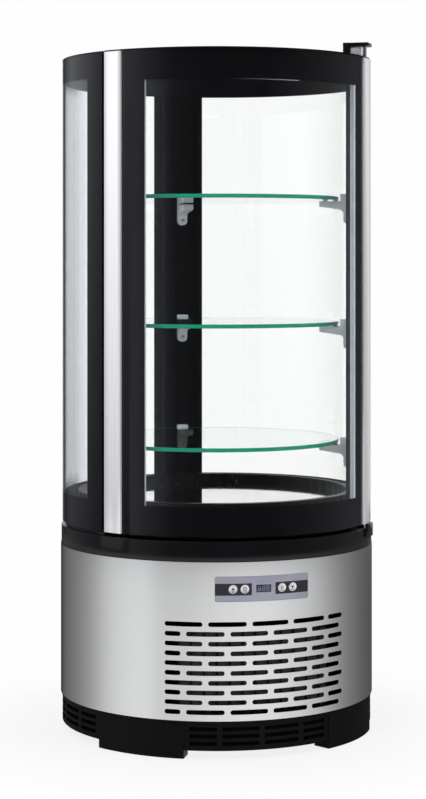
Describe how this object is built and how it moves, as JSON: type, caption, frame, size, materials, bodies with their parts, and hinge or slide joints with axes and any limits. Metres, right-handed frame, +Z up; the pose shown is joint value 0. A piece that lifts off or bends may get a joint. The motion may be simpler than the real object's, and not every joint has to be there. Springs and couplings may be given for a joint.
{
  "type": "refrigerated display case",
  "caption": "Round free-standing refrigerated display case: curved glass door and rear glazing, glass shelves, stainless machine base with grille, controls and slotted black plinth.",
  "frame": {"origin": "centre line of the round case, on the floor", "axes": "+Z up, the door faces -Y, the door's hinge is on the +X side"},
  "size_m": [0.45, 0.4502, 0.9796],
  "materials": {
    "black_plastic": "fine satin grain",
    "black_gloss": "semi-gloss",
    "black_steel": "satin black powder coat",
    "brushed_steel": "vertically brushed satin stainless",
    "polished_steel": "mirror polished stainless",
    "zinc_steel": "zinc plated",
    "aluminium": "satin anodised",
    "chrome": "polished",
    "cast_zinc": "die-cast, satin silver",
    "copper": "drawn copper tube",
    "clear_glass": "clear",
    "shelf_glass": "clear with green edge",
    "rubber": "matt",
    "grey_overlay": "satin overlay film",
    "dark_window": "smoked, glossy",
    "silver_button": "silver, satin",
    "white_foam": "foamed liner, matt",
    "board_green": "solder mask",
    "lamp_cover": "opal diffuser"
  },
  "bodies": {
    "cabinet": {"plinth": "black_plastic", "chassis_plate": "zinc_steel", "front_panel": "brushed_steel", "rear_cover": "black_steel", "base_ring": "black_gloss", "floor_tub": "white_foam", "floor_plate": "polished_steel", "compressor": "black_steel", "condenser": "black_steel", "fan_shroud": "black_plastic", "condenser_fan_motor": "zinc_steel", "drip_tray": "black_plastic", "refrigerant_line": "copper", "evaporator": "aluminium", "evaporator_fan_motor": "zinc_steel", "control_plate": "grey_overlay", "display_window": "dark_window", "control_board": "board_green", "power_inlet": "black_plastic", "post_left": "black_plastic", "post_right": "black_plastic", "post_rear": "black_plastic", "rear_glass_outer_left": "clear_glass", "rear_glass_outer_right": "clear_glass", "rear_glass_inner_left": "clear_glass", "rear_glass_inner_right": "clear_glass", "rear_glass_spacer_left": "aluminium", "rear_glass_spacer_right": "aluminium", "top_panel": "black_plastic", "roof_cover": "black_steel", "lamp_lens": "lamp_cover", "top_hinge_bracket": "black_steel", "top_hinge_pin": "chrome", "bottom_hinge_bracket": "black_steel", "bottom_hinge_pin": "chrome", "shelf_bracket_1_left": "cast_zinc", "shelf_bracket_1_right": "cast_zinc", "shelf_bracket_1_rear": "cast_zinc", "shelf_bracket_2_left": "cast_zinc", "shelf_bracket_2_right": "cast_zinc", "shelf_bracket_2_rear": "cast_zinc", "shelf_bracket_3_left": "cast_zinc", "shelf_bracket_3_right": "cast_zinc", "shelf_bracket_3_rear": "cast_zinc"},
    "door": {"door_glass_outer": "clear_glass", "door_frame": "black_plastic", "door_glass_spacer": "aluminium", "door_glass_inner": "clear_glass", "door_handle": "aluminium", "door_hinge_profile": "aluminium", "door_gasket": "rubber"},
    "condenser_fan": {"condenser_fan": "black_plastic"},
    "evaporator_fan": {"evaporator_fan": "black_plastic"},
    "button_1": {"button_1": "silver_button"},
    "button_2": {"button_2": "silver_button"},
    "button_3": {"button_3": "silver_button"},
    "button_4": {"button_4": "silver_button"},
    "shelf_1": {"shelf_1": "shelf_glass"},
    "shelf_2": {"shelf_2": "shelf_glass"},
    "shelf_3": {"shelf_3": "shelf_glass"}
  },
  "joints": [
    {"name": "door_hinge", "type": "hinge", "parent": "cabinet", "child": "door", "pos_m": [0.18512, -0.11794, 0.6], "axis": [0, 0, 1], "range_deg": [0, 110]},
    {"name": "condenser_fan_spin", "type": "hinge", "parent": "cabinet", "child": "condenser_fan", "pos_m": [0, -0.1437, 0.092], "axis": [0, 1, 0], "continuous": true},
    {"name": "evaporator_fan_spin", "type": "hinge", "parent": "cabinet", "child": "evaporator_fan", "pos_m": [0, 0.0885, 0.268], "axis": [0, 1, 0], "continuous": true},
    {"name": "button_1_press", "type": "slide", "parent": "cabinet", "child": "button_1", "axis": [0.1805, 0.9836, 0], "range_m": [0, 0.0008], "stiffness_N_per_m": 300},
    {"name": "button_2_press", "type": "slide", "parent": "cabinet", "child": "button_2", "axis": [0.1097, 0.994, 0], "range_m": [0, 0.0008], "stiffness_N_per_m": 300},
    {"name": "button_3_press", "type": "slide", "parent": "cabinet", "child": "button_3", "axis": [-0.1236, 0.9923, 0], "range_m": [0, 0.0008], "stiffness_N_per_m": 300},
    {"name": "button_4_press", "type": "slide", "parent": "cabinet", "child": "button_4", "axis": [-0.1942, 0.981, 0], "range_m": [0, 0.0008], "stiffness_N_per_m": 300},
    {"name": "shelf_1_lift", "type": "slide", "parent": "cabinet", "child": "shelf_1", "axis": [0, 0, 1], "range_m": [0, 0.02]},
    {"name": "shelf_2_lift", "type": "slide", "parent": "cabinet", "child": "shelf_2", "axis": [0, 0, 1], "range_m": [0, 0.02]},
    {"name": "shelf_3_lift", "type": "slide", "parent": "cabinet", "child": "shelf_3", "axis": [0, 0, 1], "range_m": [0, 0.02]}
  ]
}
